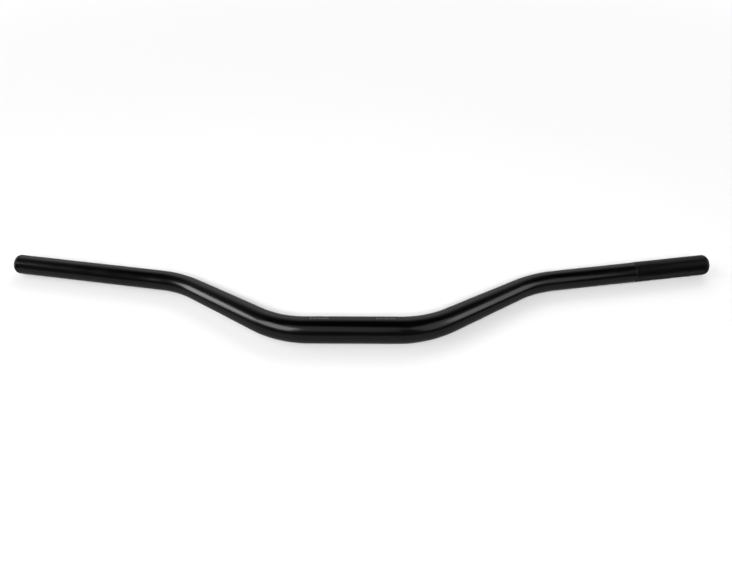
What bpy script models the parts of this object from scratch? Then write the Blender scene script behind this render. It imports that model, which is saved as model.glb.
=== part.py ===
"""Tapered aluminium motorcycle handlebar with a knurled left grip end and two push-in end plugs.

Metres. The bar lies on a flat surface. The origin is the centre of the clamp section, on the
tube's axis. +X runs along the clamp section towards the rider's left hand, +Y goes back
towards the rider, the way both ends sweep, and +Z is up from the surface.
"""

import math

import bmesh
import bpy
from mathutils import Matrix, Vector

# Tube: the usual oversize clamp section, tapered down to the usual grip size.
CLAMP_RADIUS = 0.0143
GRIP_RADIUS = 0.0111
WALL = 0.004

# Centreline from the middle outwards: straight, bend, straight, opposite bend, grip.
CLAMP_HALF = 0.048
ARM_BEND_RADIUS = 0.105
ARM_BEND = math.radians(31.0)
ARM_LENGTH = 0.090
GRIP_BEND_RADIUS = 0.120
GRIP_BEND = math.radians(22.0)
GRIP_LENGTH = 0.175

# The outside narrows evenly along the centreline, from the clamp section into the grip bend.
TAPER_START = CLAMP_HALF
TAPER_END = 0.203

# Knurled band at the rider's left, with its crests a little proud of the plain grip.
KNURL_LENGTH = 0.083
KNURL_RISE = 0.0002
KNURL_EDGE = 0.0004

# End plug: a domed head over the tube's rim, and a ribbed hollow shank in the bore.
GAP = 0.0003
HEAD_HEIGHT = 0.0045
HEAD_FLAT_RADIUS = 0.0066
SHANK_LENGTH = 0.024
RIB_COUNT = 3
RIB_HEIGHT = 0.0007
RIB_LENGTH = 0.002
CORE_RADIUS = 0.0042
CORE_DEPTH = 0.020

# Mesh fineness.
TUBE_SIDES = 36
BORE_SIDES = 28
PLUG_SIDES = 36
BEND_STEP = math.radians(3.6)
ROUNDING_STEPS = 5
BORE_OVERRUN = 0.005

# Each stretch of the centreline: its length, how far it turns and on what radius.
STRETCHES = (
    (CLAMP_HALF, 0.0, 0.0),
    (ARM_BEND_RADIUS * ARM_BEND, ARM_BEND, ARM_BEND_RADIUS),
    (ARM_LENGTH, 0.0, 0.0),
    (GRIP_BEND_RADIUS * GRIP_BEND, -GRIP_BEND, GRIP_BEND_RADIUS),
    (GRIP_LENGTH, 0.0, 0.0),
)
HALF_LENGTH = sum(length for length, turn, radius in STRETCHES)


def flat_point(distance):
    """The place and heading on the centreline at this distance from the middle, before leaning."""
    x = 0.0
    y = 0.0
    heading = 0.0
    left = distance
    for index, (length, turn, radius) in enumerate(STRETCHES):
        last = index == len(STRETCHES) - 1
        here = left if last else min(left, length)
        if turn:
            turned = turn * here / length
            side = math.copysign(radius, turn)
            x += side * (math.sin(heading + turned) - math.sin(heading))
            y += side * (math.cos(heading) - math.cos(heading + turned))
            heading += turned
        else:
            x += here * math.cos(heading)
            y += here * math.sin(heading)
        left -= here
        if left <= 0.0:
            break
    return x, y, heading


# The bar rests on the surface under its clamp section and under the thinner grip ends, so the
# plane of the centreline leans down towards them.
END_SWEEP = flat_point(HALF_LENGTH)[1]
END_DROP = CLAMP_RADIUS - GRIP_RADIUS - KNURL_RISE
LEAN = Matrix.Rotation(-math.asin(END_DROP / END_SWEEP), 4, "X")


def centre(distance, side):
    """The place and outward heading on the leaning centreline, on the +X side or the -X side."""
    x, y, heading = flat_point(distance)
    place = LEAN @ Vector((side * x, y, 0.0))
    direction = LEAN @ Vector((side * math.cos(heading), math.sin(heading), 0.0))
    return place, direction


def plain_radius(distance):
    """The tube's outer radius at this distance from the middle, without the knurl."""
    share = (distance - TAPER_START) / (TAPER_END - TAPER_START)
    share = min(max(share, 0.0), 1.0)
    return CLAMP_RADIUS + (GRIP_RADIUS - CLAMP_RADIUS) * share


def stations(end):
    """Distances from the middle at which the tube needs a ring, out to the end given."""
    found = {TAPER_START, TAPER_END, end}
    begin = 0.0
    for length, turn, radius in STRETCHES:
        steps = max(1, math.ceil(abs(turn) / BEND_STEP))
        for step in range(steps):
            found.add(begin + length * step / steps)
        begin += length
    return sorted(distance for distance in found if distance <= end)


def outer_rings():
    """The place and radius of each ring of the tube's outside, from the -X end to the +X end."""
    plain = stations(HALF_LENGTH)
    rings = [(centre(distance, -1)[0], plain_radius(distance)) for distance in reversed(plain)]
    knurl_start = HALF_LENGTH - KNURL_LENGTH
    for distance in plain[1:-1]:
        rings.append((centre(distance, 1)[0], plain_radius(distance)))
    rings.append((centre(knurl_start, 1)[0], GRIP_RADIUS))
    rings.append((centre(knurl_start + KNURL_EDGE, 1)[0], GRIP_RADIUS + KNURL_RISE))
    rings.append((centre(HALF_LENGTH, 1)[0], GRIP_RADIUS + KNURL_RISE))
    return rings


def bore_rings():
    """The same for the bore, which follows the plain outside and runs out past both ends."""
    plain = stations(HALF_LENGTH + BORE_OVERRUN)
    rings = [(centre(distance, -1)[0], plain_radius(distance) - WALL) for distance in reversed(plain)]
    for distance in plain[1:]:
        rings.append((centre(distance, 1)[0], plain_radius(distance) - WALL))
    return rings


def make_material(name, colour, roughness, metallic):
    """A Principled material with one colour."""
    material = bpy.data.materials.new(name)
    material.use_nodes = True
    shader = material.node_tree.nodes["Principled BSDF"]
    shader.inputs["Base Color"].default_value = (*colour, 1.0)
    shader.inputs["Roughness"].default_value = roughness
    shader.inputs["Metallic"].default_value = metallic
    return material


def make_rod(name, rings, sides, collection):
    """A closed mesh rod along the rings: a poly curve with a bevel, made a mesh and welded."""
    curve = bpy.data.curves.new(name + "_curve", "CURVE")
    curve.dimensions = "3D"
    curve.twist_mode = "Z_UP"
    curve.bevel_depth = 1.0
    curve.bevel_resolution = (sides - 4) // 2
    curve.use_fill_caps = True
    spline = curve.splines.new("POLY")
    spline.points.add(len(rings) - 1)
    for point, (place, radius) in zip(spline.points, rings):
        point.co = (*place, 1.0)
        point.radius = radius
    guide = bpy.data.objects.new(name + "_guide", curve)
    collection.objects.link(guide)
    evaluated = guide.evaluated_get(bpy.context.evaluated_depsgraph_get())
    mesh = bpy.data.meshes.new_from_object(evaluated)
    mesh.name = name
    cage = bmesh.new()
    cage.from_mesh(mesh)
    bmesh.ops.remove_doubles(cage, verts=cage.verts, dist=0.00001)
    bmesh.ops.recalc_face_normals(cage, faces=cage.faces)
    cage.to_mesh(mesh)
    cage.free()
    rod = bpy.data.objects.new(name, mesh)
    rod.matrix_world = guide.matrix_world
    collection.objects.link(rod)
    bpy.data.objects.remove(guide)
    bpy.data.curves.remove(curve)
    return rod


def smooth(mesh):
    """Round faces shaded smooth, with sharp edges kept where they turn by more than 30 degrees."""
    mesh.shade_smooth()
    mesh.set_sharp_from_angle(angle=math.radians(30.0))


def make_tube(parts, cutters, material):
    """The tapered, bent tube with its bore cut from end to end."""
    tube = make_rod("handlebar_tube", outer_rings(), TUBE_SIDES, parts)
    bore = make_rod("bore_cutter", bore_rings(), BORE_SIDES, cutters)
    bore.display_type = "WIRE"
    bore.hide_render = True
    cut = tube.modifiers.new("bore", "BOOLEAN")
    cut.operation = "DIFFERENCE"
    cut.solver = "EXACT"
    cut.object = bore
    smooth(tube.data)
    tube.data.materials.append(material)


def plug_profile():
    """The plug's outline, from the middle of its face down its outer side and up its core hole.

    Heights are along the plug's axis, from the tube's rim outwards.
    """
    shank_radius = GRIP_RADIUS - WALL - GAP
    root_radius = shank_radius - RIB_HEIGHT
    round_width = GRIP_RADIUS - HEAD_FLAT_RADIUS
    outline = [(0.0, HEAD_HEIGHT)]
    for step in range(ROUNDING_STEPS + 1):
        angle = 0.5 * math.pi * step / ROUNDING_STEPS
        across = HEAD_FLAT_RADIUS + round_width * math.sin(angle)
        height = GAP + (HEAD_HEIGHT - GAP) * math.cos(angle)
        outline.append((across, height))
    outline.append((root_radius, GAP))
    pitch = SHANK_LENGTH / (RIB_COUNT + 0.5)
    for rib in range(RIB_COUNT):
        middle = -pitch * (rib + 0.75)
        outline.append((root_radius, middle + RIB_LENGTH))
        outline.append((shank_radius, middle + 0.3 * RIB_LENGTH))
        outline.append((shank_radius, middle - 0.3 * RIB_LENGTH))
        outline.append((root_radius, middle - RIB_LENGTH))
    outline.append((root_radius, -SHANK_LENGTH))
    outline.append((CORE_RADIUS, -SHANK_LENGTH))
    outline.append((CORE_RADIUS, -SHANK_LENGTH + CORE_DEPTH))
    outline.append((0.0, -SHANK_LENGTH + CORE_DEPTH))
    return outline


def make_plug_mesh(material):
    """The outline as a chain of edges, which each plug's Screw modifier turns."""
    outline = plug_profile()
    mesh = bpy.data.meshes.new("end_plug_profile")
    points = [(across, 0.0, height) for across, height in outline]
    edges = [(index, index + 1) for index in range(len(points) - 1)]
    mesh.from_pydata(points, edges, [])
    mesh.materials.append(material)
    return mesh


def make_plug(name, side, mesh, parts):
    """One end plug, turned about its own axis and set in the tube's end."""
    plug = bpy.data.objects.new(name, mesh)
    place, direction = centre(HALF_LENGTH, side)
    plug.rotation_euler = direction.to_track_quat("Z", "Y").to_euler()
    plug.location = place
    turn = plug.modifiers.new("turned", "SCREW")
    turn.axis = "Z"
    turn.steps = PLUG_SIDES
    turn.render_steps = PLUG_SIDES
    turn.use_merge_vertices = True
    turn.merge_threshold = 0.00001
    turn.use_smooth_shade = True
    parts.objects.link(plug)


def main():
    for existing in list(bpy.data.objects):
        bpy.data.objects.remove(existing)
    parts = bpy.data.collections.new("handlebar")
    cutters = bpy.data.collections.new("cutters")
    bpy.context.scene.collection.children.link(parts)
    bpy.context.scene.collection.children.link(cutters)
    black_metal = make_material("satin_black_aluminium", (0.012, 0.012, 0.013), 0.36, 0.6)
    black_plastic = make_material("black_plastic", (0.016, 0.016, 0.017), 0.5, 0.0)
    make_tube(parts, cutters, black_metal)
    plug_mesh = make_plug_mesh(black_plastic)
    make_plug("left_end_plug", 1, plug_mesh, parts)
    make_plug("right_end_plug", -1, plug_mesh, parts)


main()
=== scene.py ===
import math

import bmesh
import bpy
import numpy as np
from mathutils import Matrix, Vector


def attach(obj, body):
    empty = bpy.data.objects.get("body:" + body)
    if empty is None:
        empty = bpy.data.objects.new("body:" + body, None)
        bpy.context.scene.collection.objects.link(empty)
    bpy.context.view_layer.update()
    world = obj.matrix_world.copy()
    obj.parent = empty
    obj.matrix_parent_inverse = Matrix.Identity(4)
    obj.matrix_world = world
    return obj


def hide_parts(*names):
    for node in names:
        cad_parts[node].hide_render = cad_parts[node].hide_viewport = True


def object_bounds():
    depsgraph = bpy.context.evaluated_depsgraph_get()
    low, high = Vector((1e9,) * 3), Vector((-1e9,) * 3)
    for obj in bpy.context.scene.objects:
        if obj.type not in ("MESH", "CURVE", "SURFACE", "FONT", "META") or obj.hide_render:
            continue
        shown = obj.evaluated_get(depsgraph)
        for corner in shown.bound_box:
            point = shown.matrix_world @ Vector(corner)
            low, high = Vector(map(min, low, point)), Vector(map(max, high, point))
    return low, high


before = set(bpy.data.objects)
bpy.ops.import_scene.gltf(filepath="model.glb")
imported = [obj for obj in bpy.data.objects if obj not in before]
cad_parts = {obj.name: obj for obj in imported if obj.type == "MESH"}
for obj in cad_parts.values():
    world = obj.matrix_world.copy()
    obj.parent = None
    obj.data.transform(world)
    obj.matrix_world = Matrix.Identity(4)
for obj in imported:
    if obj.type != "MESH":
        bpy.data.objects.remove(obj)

# A tapered motorcycle handlebar lying on a white floor: its tube with a knurled end, two end
# plugs and two etched scales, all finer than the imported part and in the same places. Metres.

CAD_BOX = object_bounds()

# ---------------------------------------------------------------------------------------------
# Sizes
# ---------------------------------------------------------------------------------------------

# The tube and its centreline, from the middle outwards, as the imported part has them.
CLAMP_RADIUS = 0.0143
GRIP_RADIUS = 0.0111
WALL = 0.004
CLAMP_HALF = 0.048
ARM_BEND_RADIUS = 0.105
ARM_BEND = math.radians(31.0)
ARM_LENGTH = 0.090
GRIP_BEND_RADIUS = 0.120
GRIP_BEND = math.radians(22.0)
GRIP_LENGTH = 0.175
TAPER_START = CLAMP_HALF
TAPER_END = 0.203

# The bends and the ends of the taper are eased in and out over a short length.
BEND_EASE = 0.008
TAPER_EASE = 0.020

# Chamfer on the outer and inner edge of both rims.
RIM_CHAMFER = 0.0004

# Diamond knurl: crests stand proud of the plain grip by the rise and grooves lie below it by
# the sink. Its depth fades in over a short length where it starts.
KNURL_LENGTH = 0.083
KNURL_RISE = 0.0002
KNURL_SINK = 0.0002
KNURL_COUNT = 58
KNURL_HELIX = math.radians(30.0)
KNURL_FADE = 0.0016

# Height of a knurl diamond at its groove, halfway to its middle and at its middle.
KNURL_GROOVE_LEVEL = 0.0
KNURL_SHOULDER_LEVEL = 0.85
KNURL_CREST_LEVEL = 1.0

# End plugs: a domed head over the tube's rim and a hollow, ribbed shank in the bore.
GAP = 0.0003
HEAD_HEIGHT = 0.0045
HEAD_FLAT_RADIUS = 0.0066
HEAD_CHAMFER = 0.0002
SHANK_LENGTH = 0.024
SHANK_CHAMFER = 0.0005
RIB_COUNT = 3
RIB_HEIGHT = 0.0007
RIB_HALF_LENGTH = 0.002
RIB_HALF_CREST = 0.0006
CORE_RADIUS = 0.0042
CORE_DEPTH = 0.020

# Shallow ring in the plug's face: radius and depth of each corner, from the middle outwards.
FACE_RING = ((0.0044, 0.0), (0.0046, 0.00015), (0.0050, 0.00015), (0.0052, 0.0))

# Etched alignment scales on the clamp section, a little behind its top.
MARK_CENTRE = 0.0346
MARK_PITCH = 0.001
MARK_COUNT = 20
MARK_LONG_EVERY = 5
MARK_LONG = 0.0034
MARK_SHORT = 0.0024
MARK_WIDTH = 0.00036
MARK_LEAN = math.radians(14.0)
MARK_PROUD = 0.00002
MARK_SUNK = 0.00008

# Mesh fineness. The tube has four columns and four rows to each knurl diamond.
QUARTERS = 4
COLUMNS = QUARTERS * KNURL_COUNT
BEND_ROW = 0.003
STRAIGHT_ROW = 0.012
ROW_CLEARANCE = 0.002
CENTRELINE_SAMPLES = 8001
TAPER_SAMPLES = 9
PLUG_STEPS = 96
DOME_STEPS = 12
MARK_STEPS = 6
WELD_DISTANCE = 0.00001
TUBE_SHARP_ANGLE = math.radians(30.0)
PLUG_SHARP_ANGLE = math.radians(40.0)

FLOOR_HEIGHT = CAD_BOX[0].z


# ---------------------------------------------------------------------------------------------
# Centreline
# ---------------------------------------------------------------------------------------------

def measure_centreline():
    """One half of the bar: its length, where its stretches end, and points along it.

    The points are given as four arrays: distance, x, y and heading.
    """
    arm_arc = ARM_BEND_RADIUS * ARM_BEND
    grip_arc = GRIP_BEND_RADIUS * GRIP_BEND
    bounds = np.cumsum([CLAMP_HALF, arm_arc, ARM_LENGTH, grip_arc, GRIP_LENGTH])
    half = bounds[-1]
    distance = np.linspace(0.0, half + HEAD_HEIGHT, CENTRELINE_SAMPLES)

    def window(start, end):
        """1 within a bend and 0 outside it, eased at both ends."""
        rise = np.clip((distance - start) / BEND_EASE + 0.5, 0.0, 1.0)
        fall = np.clip((distance - end) / BEND_EASE + 0.5, 0.0, 1.0)
        return rise * rise * (3.0 - 2.0 * rise) - fall * fall * (3.0 - 2.0 * fall)

    curvature = window(bounds[0], bounds[1]) / ARM_BEND_RADIUS
    curvature -= window(bounds[2], bounds[3]) / GRIP_BEND_RADIUS
    step = distance[1] - distance[0]

    def add_up(values):
        """The running integral along the bar."""
        return np.concatenate([[0.0], np.cumsum(0.5 * (values[1:] + values[:-1]) * step)])

    heading = add_up(curvature)
    return half, bounds, distance, add_up(np.cos(heading)), add_up(np.sin(heading)), heading


HALF_LENGTH, BOUNDS, DISTANCE, PATH_X, PATH_Y, PATH_HEADING = measure_centreline()

# The bar rests under its clamp section and under its thinner grip ends, so its plane leans.
END_DROP = CLAMP_RADIUS - GRIP_RADIUS - KNURL_RISE
END_SWEEP = float(np.interp(HALF_LENGTH, DISTANCE, PATH_Y))
LEAN = Matrix.Rotation(-math.asin(END_DROP / END_SWEEP), 3, "X")
LEAN_ROWS = np.array(LEAN)
PLANE_UP = LEAN_ROWS @ np.array([0.0, 0.0, 1.0])


def along(place):
    """Centre, direction towards +X and sideways direction at a signed distance from the middle."""
    far = np.abs(place)
    side = 1.0 if place >= 0.0 else -1.0
    heading = np.interp(far, DISTANCE, PATH_HEADING)
    x = side * np.interp(far, DISTANCE, PATH_X)
    y = np.interp(far, DISTANCE, PATH_Y)
    centre = LEAN_ROWS @ np.array([x, y, 0.0])
    forward = LEAN_ROWS @ np.array([np.cos(heading), side * np.sin(heading), 0.0])
    return centre, forward, np.cross(PLANE_UP, forward)


def plain_radius(place):
    """Outer radius of the tube without its knurl, with the ends of the taper eased."""
    offsets = np.linspace(-0.5, 0.5, TAPER_SAMPLES) * TAPER_EASE
    share = np.clip((abs(place) + offsets - TAPER_START) / (TAPER_END - TAPER_START), 0.0, 1.0)
    return CLAMP_RADIUS + (GRIP_RADIUS - CLAMP_RADIUS) * float(share.mean())


def ring(place, radius):
    """Points around the tube at a signed distance from the middle. The first is at the bottom."""
    centre, forward, sideways = along(place)
    turn = np.arange(COLUMNS) * (2.0 * math.pi / COLUMNS)
    radius = np.broadcast_to(radius, turn.shape)
    outward = -np.cos(turn)[:, None] * PLANE_UP + np.sin(turn)[:, None] * sideways
    return centre + radius[:, None] * outward


# ---------------------------------------------------------------------------------------------
# Meshes
# ---------------------------------------------------------------------------------------------

def link(name, mesh):
    """A new object in the scene that holds this mesh."""
    piece = bpy.data.objects.new(name, mesh)
    bpy.context.scene.collection.objects.link(piece)
    return piece


def knurl_level(row, column):
    """Height of the knurl from 0 in a groove to 1 on a crest, on a grid of quarter pitches."""
    first = (column + row) / QUARTERS
    second = (column - row) / QUARTERS
    first = 2.0 * np.abs(first - np.round(first))
    second = 2.0 * np.abs(second - np.round(second))
    levels = [KNURL_GROOVE_LEVEL, KNURL_SHOULDER_LEVEL, KNURL_CREST_LEVEL]
    return np.interp(np.minimum(first, second), [0.0, 0.5, 1.0], levels)


def plain_places(end):
    """Signed distances of the smooth tube's rings, from the -X end towards +X, short of end."""
    edges = [0.0, *BOUNDS]
    places = []
    for index in range(len(BOUNDS)):
        is_bend = index % 2 == 1
        length = edges[index + 1] - edges[index]
        steps = math.ceil(length / (BEND_ROW if is_bend else STRAIGHT_ROW))
        places += list(edges[index] + length * np.arange(steps) / steps)
    half = [place for place in places if place > 0.0]
    both = [-place for place in reversed(half)] + [0.0] + half
    return [place for place in both if place < end]


def tube_rows():
    """Rings of the tube's skin in order, along the outside and back through the bore.

    Returns the points, the knurl's height at each point, and the first and last knurled ring.
    """
    knurl_start = HALF_LENGTH - KNURL_LENGTH
    pitch_along = 2.0 * math.pi * GRIP_RADIUS / KNURL_COUNT / math.tan(KNURL_HELIX)
    knurl_rows = round((KNURL_LENGTH - RIM_CHAMFER) / (pitch_along / QUARTERS))
    knurl_end = HALF_LENGTH - RIM_CHAMFER
    column = np.arange(COLUMNS)
    rows = []
    crest = []

    def add(place, radius, height=0.0):
        """One more ring, with the height that the knurl has on it."""
        rows.append(ring(place, radius))
        crest.append(np.broadcast_to(height, (COLUMNS,)))

    add(-HALF_LENGTH, GRIP_RADIUS - RIM_CHAMFER)
    add(-HALF_LENGTH + RIM_CHAMFER, GRIP_RADIUS)
    for place in plain_places(knurl_start - ROW_CLEARANCE):
        add(place, plain_radius(place))
    knurl_first = len(rows)
    for row in range(knurl_rows + 1):
        place = knurl_start + (knurl_end - knurl_start) * row / knurl_rows
        level = knurl_level(row, column)
        fade = min(1.0, (place - knurl_start) / KNURL_FADE)
        fade = fade * fade * (3.0 - 2.0 * fade)
        height = (KNURL_RISE + KNURL_SINK) * level - KNURL_SINK
        add(place, GRIP_RADIUS + fade * height, fade * level)
    knurl_last = len(rows) - 1
    add(HALF_LENGTH, GRIP_RADIUS - RIM_CHAMFER)
    bore_edge = GRIP_RADIUS - WALL + RIM_CHAMFER
    add(HALF_LENGTH, bore_edge)
    add(HALF_LENGTH - RIM_CHAMFER, bore_edge - RIM_CHAMFER)
    # The bore is hidden, so every second ring is enough.
    for place in reversed(plain_places(HALF_LENGTH - ROW_CLEARANCE)[::2]):
        add(place, plain_radius(place) - WALL)
    add(-HALF_LENGTH + RIM_CHAMFER, bore_edge - RIM_CHAMFER)
    add(-HALF_LENGTH, bore_edge)
    return np.array(rows), np.array(crest), knurl_first, knurl_last


def make_tube():
    """The whole bar as one closed skin, with real ridges on the knurled end."""
    rows, crest, knurl_first, knurl_last = tube_rows()
    count = len(rows)
    faces = []
    kinds = []
    for row in range(count):
        following = (row + 1) % count
        knurled = knurl_first <= row < knurl_last
        for column in range(COLUMNS):
            beside = (column + 1) % COLUMNS
            low_near = row * COLUMNS + column
            low_far = row * COLUMNS + beside
            high_near = following * COLUMNS + column
            high_far = following * COLUMNS + beside
            if not knurled:
                faces.append((low_near, high_near, high_far, low_far))
                kinds.append(0)
                continue
            # The cut across each cell follows the groove that is nearer to it.
            local_row = row - knurl_first
            first = (column + local_row + 1) / QUARTERS
            second = (column - local_row) / QUARTERS
            if abs(first - round(first)) < abs(second - round(second)):
                faces.append((low_near, high_near, low_far))
                faces.append((high_near, high_far, low_far))
            else:
                faces.append((low_near, high_near, high_far))
                faces.append((low_near, high_far, low_far))
            kinds += [1, 1]
    mesh = bpy.data.meshes.new("handlebar_tube_skin")
    mesh.from_pydata(rows.reshape(-1, 3).tolist(), [], faces)
    mesh.polygons.foreach_set("material_index", kinds)
    mesh.polygons.foreach_set("use_smooth", [kind == 0 for kind in kinds])
    mesh.set_sharp_from_angle(angle=TUBE_SHARP_ANGLE)
    height = mesh.attributes.new("crest", "FLOAT", "POINT")
    height.data.foreach_set("value", crest.reshape(-1).astype(np.float32))
    mesh.update()
    return link("bar_tube", mesh)


def plug_outline():
    """Radius and height along the plug, from the middle of its face to the end of its core.

    Heights are along the plug's axis, from the tube's rim outwards.
    """
    shank = GRIP_RADIUS - WALL - GAP
    root = shank - RIB_HEIGHT
    points = [(0.0, HEAD_HEIGHT)]
    points += [(radius, HEAD_HEIGHT - depth) for radius, depth in FACE_RING]
    round_width = GRIP_RADIUS - HEAD_FLAT_RADIUS
    round_foot = GAP + HEAD_CHAMFER
    for step in range(DOME_STEPS + 1):
        angle = 0.5 * math.pi * step / DOME_STEPS
        across = HEAD_FLAT_RADIUS + round_width * math.sin(angle)
        points.append((across, round_foot + (HEAD_HEIGHT - round_foot) * math.cos(angle)))
    points += [(GRIP_RADIUS - HEAD_CHAMFER, GAP), (root, GAP)]
    # Half a pitch of plain shank is left over, shared between its two ends.
    pitch = SHANK_LENGTH / (RIB_COUNT + 0.5)
    for rib in range(RIB_COUNT):
        middle = -pitch * (rib + 0.75)
        points += [(root, middle + RIB_HALF_LENGTH), (shank, middle + RIB_HALF_CREST)]
        points += [(shank, middle - RIB_HALF_CREST), (root, middle - RIB_HALF_LENGTH)]
    points += [(root, -SHANK_LENGTH + SHANK_CHAMFER), (root - SHANK_CHAMFER, -SHANK_LENGTH)]
    points += [(CORE_RADIUS, -SHANK_LENGTH), (CORE_RADIUS, -SHANK_LENGTH + CORE_DEPTH)]
    points += [(0.0, -SHANK_LENGTH + CORE_DEPTH)]
    return points


def make_plug(name, side):
    """One end plug: its outline turned about its own axis and set in the bar's end."""
    outline = plug_outline()
    mesh = bpy.data.meshes.new(name)
    mesh.from_pydata(
        [(across, 0.0, height) for across, height in outline],
        [(index, index + 1) for index in range(len(outline) - 1)],
        [],
    )
    guide = link(name + "_guide", mesh)
    turned = guide.modifiers.new("turned", "SCREW")
    turned.axis = "Z"
    turned.steps = PLUG_STEPS
    turned.render_steps = PLUG_STEPS
    turned.use_merge_vertices = True
    turned.merge_threshold = WELD_DISTANCE
    turned.use_smooth_shade = True
    evaluated = guide.evaluated_get(bpy.context.evaluated_depsgraph_get())
    solid = bpy.data.meshes.new_from_object(evaluated)
    solid.name = name
    solid.set_sharp_from_angle(angle=PLUG_SHARP_ANGLE)
    bpy.data.objects.remove(guide)
    bpy.data.meshes.remove(mesh)
    centre, forward, sideways = along(side * HALF_LENGTH)
    outward = Vector(forward) * side
    turn = outward.to_track_quat("Z", "Y").to_matrix().to_4x4()
    solid.transform(Matrix.Translation(centre) @ turn)
    return link(name, solid)


def make_marks():
    """Two etched scales of fine lines that help to centre the bar in its clamps."""
    shape = bmesh.new()
    for side in (-1.0, 1.0):
        for index in range(MARK_COUNT):
            place = side * MARK_CENTRE + (index - (MARK_COUNT - 1) / 2.0) * MARK_PITCH
            tall = MARK_LONG if index % MARK_LONG_EVERY == 0 else MARK_SHORT
            add_mark(shape, place, tall)
    mesh = bpy.data.meshes.new("clamp_marks")
    shape.to_mesh(mesh)
    shape.free()
    return link("clamp_marks", mesh)


def add_mark(shape, place, tall):
    """One thin line round part of the tube, sunk a little into it and just proud of it."""
    grid = []
    for edge in (-0.5, 0.5):
        centre, forward, sideways = along(place + edge * MARK_WIDTH)
        for radius in (CLAMP_RADIUS - MARK_SUNK, CLAMP_RADIUS + MARK_PROUD):
            line = []
            for step in range(MARK_STEPS + 1):
                angle = MARK_LEAN + (step / MARK_STEPS - 0.5) * tall / CLAMP_RADIUS
                outward = math.cos(angle) * PLANE_UP + math.sin(angle) * sideways
                line.append(shape.verts.new(centre + radius * outward))
            grid.append(line)
    low_left, high_left, low_right, high_right = grid
    sides = ((high_left, high_right), (high_right, low_right), (low_right, low_left),
             (low_left, high_left))
    for step in range(MARK_STEPS):
        for one, other in sides:
            shape.faces.new((one[step], other[step], other[step + 1], one[step + 1]))
    for end in (0, MARK_STEPS):
        loop = (low_left[end], high_left[end], high_right[end], low_right[end])
        shape.faces.new(loop if end else loop[::-1])


# ---------------------------------------------------------------------------------------------
# Materials
# ---------------------------------------------------------------------------------------------

# Colours, in linear light.
NO_LIGHT = (0.0, 0.0, 0.0, 1.0)
FULL_WHITE = (1.0, 1.0, 1.0, 1.0)
ANODISED_DARK = (0.0004, 0.0004, 0.0005, 1.0)
ANODISED_PALE = (0.0008, 0.0008, 0.0009, 1.0)
WORN_CREST = (0.003, 0.003, 0.0031, 1.0)
NYLON_DARK = (0.0050, 0.0050, 0.0052, 1.0)
NYLON_PALE = (0.0075, 0.0075, 0.0078, 1.0)
ETCHED_DARK = (0.11, 0.11, 0.11, 1.0)
ETCHED_PALE = (0.19, 0.19, 0.19, 1.0)
PAPER_DARK = (0.655, 0.655, 0.655, 1.0)
PAPER_PALE = (0.665, 0.665, 0.665, 1.0)

# Range of each roughness.
SMOOTH_ROUGHNESS = (0.18, 0.22)
KNURL_ROUGHNESS = (0.28, 0.34)
NYLON_ROUGHNESS = (0.44, 0.52)
ETCHED_ROUGHNESS = (0.55, 0.7)
METAL_GRAIN_ROUGHNESS = (-0.02, 0.02)
NYLON_GRAIN_ROUGHNESS = (-0.03, 0.03)
PAPER_ROUGHNESS = 0.85

# Refraction of the anodised coating and of nylon.
COATING_IOR = 1.50
NYLON_IOR = 1.40

# Wear of the knurl: a crest's level of 1 plus this share of the smudges, from where the wear
# starts to where it is strongest, and how far it then turns the colour to that of a worn crest.
SMUDGE_WEAR = 0.5
WEAR_START = 1.1
WEAR_END = 1.5
WEAR_AMOUNT = 0.35

# Where most of a noise texture's values lie.
NOISE_LOW = 0.3
NOISE_HIGH = 0.7

# Colour sockets of a Mix node, by number, because their names repeat.
MIX_FIRST = 6
MIX_SECOND = 7
MIX_RESULT = 2


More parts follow.
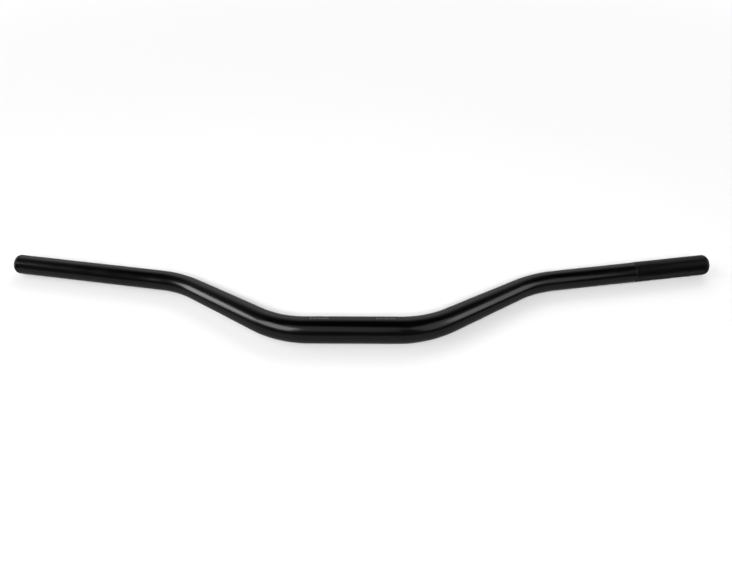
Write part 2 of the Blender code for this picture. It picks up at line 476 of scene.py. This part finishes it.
class Recipe:
    """A short way to build a node material around one Principled shader."""

    def __init__(self, name):
        self.material = bpy.data.materials.new(name)
        self.material.use_nodes = True
        self.tree = self.material.node_tree
        self.shader = self.tree.nodes["Principled BSDF"]

    def node(self, kind, settings=None, **inputs):
        """A new node, with its inputs set to values or linked to other nodes' outputs."""
        made = self.tree.nodes.new(kind)
        for key, value in (settings or {}).items():
            setattr(made, key, value)
        for key, value in inputs.items():
            self.feed(value, made.inputs[key.replace("_", " ")])
        return made

    def here(self):
        """Coordinates in metres, which stay with the piece."""
        return self.node("ShaderNodeTexCoord").outputs["Object"]

    def noise(self, where, scale, detail=2.0, roughness=0.5):
        made = self.node("ShaderNodeTexNoise", Vector=where, Scale=scale, Detail=detail,
                         Roughness=roughness)
        return made.outputs["Fac"]

    def spread(self, value, low, high, to_low, to_high):
        """The value mapped from one range to another, and kept within the second."""
        made = self.node("ShaderNodeMapRange", Value=value, From_Min=low, From_Max=high,
                         To_Min=to_low, To_Max=to_high)
        return made.outputs["Result"]

    def from_noise(self, value, ends):
        """A noise mapped to the range between two ends."""
        return self.spread(value, NOISE_LOW, NOISE_HIGH, *ends)

    def mix(self, amount, first, second):
        made = self.node("ShaderNodeMix", {"data_type": "RGBA"})
        self.feed(amount, made.inputs["Factor"])
        self.feed(first, made.inputs[MIX_FIRST])
        self.feed(second, made.inputs[MIX_SECOND])
        return made.outputs[MIX_RESULT]

    def maths(self, operation, first, second):
        made = self.node("ShaderNodeMath", {"operation": operation})
        self.feed(first, made.inputs[0])
        self.feed(second, made.inputs[1])
        return made.outputs[0]

    def sum(self, first, second):
        return self.maths("ADD", first, second)

    def scaled(self, value, factor):
        return self.maths("MULTIPLY", value, factor)

    def feed(self, value, socket):
        """Link an output to the socket, or set the socket's own value."""
        if isinstance(value, bpy.types.NodeSocket):
            self.tree.links.new(value, socket)
        else:
            socket.default_value = value

    def bump(self, height, strength, distance):
        """Fine surface grain, far smaller than any modelled shape."""
        made = self.node("ShaderNodeBump", Height=height, Strength=strength, Distance=distance)
        self.tree.links.new(made.outputs["Normal"], self.shader.inputs["Normal"])

    def set(self, **inputs):
        """Values or links for the shader's own sockets."""
        for key, value in inputs.items():
            self.feed(value, self.shader.inputs[key.replace("_", " ")])


def black_aluminium(name, knurled):
    """Satin black anodised aluminium. The knurled one is rougher and worn on its crests."""
    recipe = Recipe(name)
    here = recipe.here()
    patches = recipe.noise(here, scale=18.0, detail=3.0)
    grain = recipe.noise(here, scale=2600.0, roughness=0.6)
    smudges = recipe.noise(here, scale=55.0, detail=4.0, roughness=0.6)
    colour = recipe.mix(patches, ANODISED_DARK, ANODISED_PALE)
    if knurled:
        crest = recipe.node("ShaderNodeAttribute", {"attribute_name": "crest"}).outputs["Fac"]
        wear = recipe.sum(crest, recipe.scaled(smudges, SMUDGE_WEAR))
        worn = recipe.spread(wear, WEAR_START, WEAR_END, 0.0, WEAR_AMOUNT)
        colour = recipe.mix(worn, colour, WORN_CREST)
        rough = recipe.from_noise(smudges, KNURL_ROUGHNESS)
    else:
        rough = recipe.from_noise(smudges, SMOOTH_ROUGHNESS)
    rough = recipe.sum(rough, recipe.from_noise(grain, METAL_GRAIN_ROUGHNESS))
    recipe.set(Base_Color=colour, Roughness=rough, Metallic=0.0, IOR=COATING_IOR)
    recipe.bump(grain, strength=0.10, distance=0.00002)
    return recipe.material


def black_plastic(name):
    """Fine-grained moulded nylon."""
    recipe = Recipe(name)
    here = recipe.here()
    grain = recipe.noise(here, scale=3200.0, detail=3.0, roughness=0.65)
    patches = recipe.noise(here, scale=140.0)
    colour = recipe.mix(patches, NYLON_DARK, NYLON_PALE)
    rough = recipe.sum(recipe.from_noise(patches, NYLON_ROUGHNESS),
                       recipe.from_noise(grain, NYLON_GRAIN_ROUGHNESS))
    recipe.set(Base_Color=colour, Roughness=rough, IOR=NYLON_IOR)
    recipe.bump(grain, strength=0.25, distance=0.00004)
    return recipe.material


def etched_grey(name):
    """Laser-etched metal, a dull grey with a slightly uneven tone."""
    recipe = Recipe(name)
    here = recipe.here()
    speckle = recipe.noise(here, scale=4200.0)
    colour = recipe.mix(speckle, ETCHED_DARK, ETCHED_PALE)
    rough = recipe.from_noise(speckle, ETCHED_ROUGHNESS)
    recipe.set(Base_Color=colour, Roughness=rough)
    recipe.bump(speckle, strength=0.2, distance=0.00002)
    return recipe.material


def floor_white(name):
    """Matt white paper, lit near the bar and glowing evenly further out.

    Reflections in the bar see it dimmed, and most of all the far paper in front, as if black
    cards stood round the bar.
    """
    recipe = Recipe(name)
    here = recipe.here()
    cloud = recipe.noise(here, scale=3.0)
    colour = recipe.mix(cloud, PAPER_DARK, PAPER_PALE)
    reach = recipe.node("ShaderNodeVectorMath", {"operation": "LENGTH"}, Vector=here)
    far = recipe.spread(reach.outputs["Value"], GLOW_START, GLOW_END, 0.0, 1.0)
    reflected = recipe.node("ShaderNodeLightPath").outputs["Is Glossy Ray"]
    colour = recipe.mix(far, colour, NO_LIGHT)
    colour = recipe.mix(reflected, colour, recipe.mix(FLOOR_DIMMED, NO_LIGHT, colour))
    # Painted reflection: for glossy rays the floor's colour is dimmed, and its far glow dimmed
    # more in front than behind.
    depth = recipe.node("ShaderNodeSeparateXYZ", Vector=here).outputs["Y"]
    reflection_dimming = recipe.spread(depth, -GLOW_START, GLOW_START, FRONT_DIMMED, FLOOR_DIMMED)
    glow = recipe.scaled(far, recipe.spread(reflected, 0.0, 1.0, 1.0, reflection_dimming))
    recipe.set(Base_Color=colour, Roughness=PAPER_ROUGHNESS, Specular_IOR_Level=0.0)
    recipe.set(Emission_Color=FULL_WHITE, Emission_Strength=glow)
    return recipe.material


# ---------------------------------------------------------------------------------------------
# Studio
# ---------------------------------------------------------------------------------------------

CAMERA_PLACE = Vector((0.0346, -0.4523, 0.5089))
CAMERA_AIM = Vector((0.0125, 0.0547, 0.0))
CAMERA_ROLL = math.radians(1.635)
CAMERA_LENS = 32.0
CAMERA_SENSOR = 36.0
CAMERA_CLIP = 0.01

# Every light faces this point.
LIGHT_AIM = Vector((0.0, 0.05, 0.0))

# Each light: name, azimuth and elevation in degrees, distance, width and height in metres, and
# radiance. The first group lights only the bar and draws the streaks along it. The second
# lights only the floor.
BAR_LIGHTS = (
    ("left_wall", -84.5, 26.0, 5.0, 2.45, 2.4, 6.3),
    ("right_wall", 82.0, 33.0, 5.0, 3.2, 2.6, 1.95),
    ("near_left_box", -49.0, 36.5, 0.45, 0.25, 0.20, 3.9),
    ("near_front_box", -17.0, 50.0, 0.45, 0.35, 0.28, 0.52),
    ("near_right_box", 54.0, 37.0, 0.45, 0.31, 0.32, 0.78),
)
FLOOR_LIGHTS = (
    ("floor_front_box", 0.0, 47.0, 4.0, 2.2, 1.4, 24.0),
    ("floor_left_box", -88.0, 40.0, 4.0, 4.0, 1.4, 3.9),
    ("floor_back_box", 165.0, 42.0, 2.2, 2.5, 1.0, 2.2),
)

# The floor starts to glow at one distance from its middle and glows fully from another.
FLOOR_SIZE = 80.0
GLOW_START = 0.5
GLOW_END = 1.2

# How much of the floor's brightness the bar's reflections see, and of its far glow in front.
FLOOR_DIMMED = 0.33
FRONT_DIMMED = 0.14

# The world's brightness by the height of a direction, from level at 0 to straight up at 1.
WORLD_BY_HEIGHT = (
    (0.0, 0.3), (0.25, 0.6), (0.4, 0.8), (0.64, 0.55), (0.8, 0.05), (0.9, 0.0),
)

# The same from in front of the bar at 0 to behind it at 1.
WORLD_BY_DEPTH = ((0.0, 0.10), (0.35, 0.12), (0.65, 0.8), (1.0, 1.0))


def make_camera():
    """A short lens close to the bar, looking down on it at 45 degrees."""
    data = bpy.data.cameras.new("camera")
    data.lens = CAMERA_LENS
    data.sensor_width = CAMERA_SENSOR
    data.clip_start = CAMERA_CLIP
    camera = bpy.data.objects.new("camera", data)
    looking = (CAMERA_AIM - CAMERA_PLACE).to_track_quat("-Z", "Y").to_matrix().to_4x4()
    roll = Matrix.Rotation(-CAMERA_ROLL, 4, "Z")
    camera.matrix_world = Matrix.Translation(CAMERA_PLACE) @ looking @ roll
    bpy.context.scene.collection.objects.link(camera)
    bpy.context.scene.camera = camera


def direction(azimuth, elevation):
    """A unit vector. Azimuth 0 is towards -Y, where the camera stands, and 90 towards +X."""
    azimuth = math.radians(azimuth)
    elevation = math.radians(elevation)
    flat = math.cos(elevation)
    return Vector((math.sin(azimuth) * flat, -math.cos(azimuth) * flat, math.sin(elevation)))


def make_softbox(name, azimuth, elevation, distance, width, height, radiance, lit):
    """A rectangular light of even brightness that faces the bar and lights one collection."""
    data = bpy.data.lights.new(name, "AREA")
    data.shape = "RECTANGLE"
    data.size = width
    data.size_y = height
    data.energy = radiance * math.pi * width * height
    light = bpy.data.objects.new(name, data)
    towards = direction(azimuth, elevation)
    turn = (-towards).to_track_quat("-Z", "Y").to_matrix().to_4x4()
    light.matrix_world = Matrix.Translation(LIGHT_AIM + towards * distance) @ turn
    light.visible_camera = False
    light.light_linking.receiver_collection = lit
    bpy.context.scene.collection.objects.link(light)


def make_world():
    """A studio that is bright behind the bar, dim in front of it and dark overhead.

    Where the camera sees past the floor it is plain white.
    """
    world = bpy.data.worlds.new("studio")
    world.use_nodes = True
    tree = world.node_tree
    background = tree.nodes["Background"]
    where = tree.nodes.new("ShaderNodeTexCoord")
    split = tree.nodes.new("ShaderNodeSeparateXYZ")
    tree.links.new(where.outputs["Generated"], split.inputs["Vector"])

    def ramp(source, stops):
        """A brightness that follows the source through stops of position and value."""
        made = tree.nodes.new("ShaderNodeValToRGB")
        elements = made.color_ramp.elements
        while len(elements) < len(stops):
            elements.new(0.5)
        for element, (position, value) in zip(elements, stops):
            element.position = position
            element.color = (value, value, value, 1.0)
        tree.links.new(source, made.inputs["Fac"])
        return made.outputs["Color"]

    span = tree.nodes.new("ShaderNodeMapRange")
    span.inputs["From Min"].default_value = -1.0
    tree.links.new(split.outputs["Y"], span.inputs["Value"])
    height = ramp(split.outputs["Z"], WORLD_BY_HEIGHT)
    depth = ramp(span.outputs["Result"], WORLD_BY_DEPTH)
    product = tree.nodes.new("ShaderNodeVectorMath")
    product.operation = "MULTIPLY"
    tree.links.new(height, product.inputs[0])
    tree.links.new(depth, product.inputs[1])
    path = tree.nodes.new("ShaderNodeLightPath")
    choice = tree.nodes.new("ShaderNodeMix")
    choice.data_type = "RGBA"
    choice.inputs[MIX_SECOND].default_value = FULL_WHITE
    tree.links.new(path.outputs["Is Camera Ray"], choice.inputs["Factor"])
    tree.links.new(product.outputs["Vector"], choice.inputs[MIX_FIRST])
    tree.links.new(choice.outputs[MIX_RESULT], background.inputs["Color"])
    bpy.context.scene.world = world


def make_floor():
    """One large flat sheet at the height that the bar rests on."""
    mesh = bpy.data.meshes.new("floor")
    half = 0.5 * FLOOR_SIZE
    corners = [(-half, -half, 0.0), (half, -half, 0.0), (half, half, 0.0), (-half, half, 0.0)]
    mesh.from_pydata(corners, [], [(0, 1, 2, 3)])
    floor = link("floor", mesh)
    floor.location.z = FLOOR_HEIGHT
    floor.data.materials.append(floor_white("floor_white"))
    return floor


def group(name, members):
    """A collection outside the scene that lights can be linked to."""
    made = bpy.data.collections.new(name)
    for member in members:
        made.objects.link(member)
    return made


def make_lights(floor, pieces):
    """The bar's own lights and the floor's own lights."""
    bar = group("lit_bar", pieces)
    for name, *setting in BAR_LIGHTS:
        make_softbox(name, *setting, bar)
    ground = group("lit_floor", [floor])
    for name, *setting in FLOOR_LIGHTS:
        make_softbox(name, *setting, ground)


# ---------------------------------------------------------------------------------------------
# Assembly
# ---------------------------------------------------------------------------------------------

def main():
    """The studio, the tube, its two plugs and its scales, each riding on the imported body."""
    bpy.context.scene.view_settings.view_transform = "Standard"
    make_camera()
    make_world()
    floor = make_floor()

    smooth_metal = black_aluminium("satin_black_aluminium", knurled=False)
    knurl_metal = black_aluminium("knurled_black_aluminium", knurled=True)
    nylon = black_plastic("black_nylon")

    tube = make_tube()
    tube.data.materials.append(smooth_metal)
    tube.data.materials.append(knurl_metal)
    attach(tube, "root")
    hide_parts("handlebar_tube")

    pieces = [tube]
    for name, side in (("left_end_plug", 1), ("right_end_plug", -1)):
        plug = make_plug(name + "_detail", side)
        pieces.append(plug)
        plug.data.materials.append(nylon)
        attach(plug, "root")
        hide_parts(name)

    marks = make_marks()
    marks.data.materials.append(etched_grey("etched_grey"))
    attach(marks, "root")
    pieces.append(marks)
    make_lights(floor, pieces)


main()
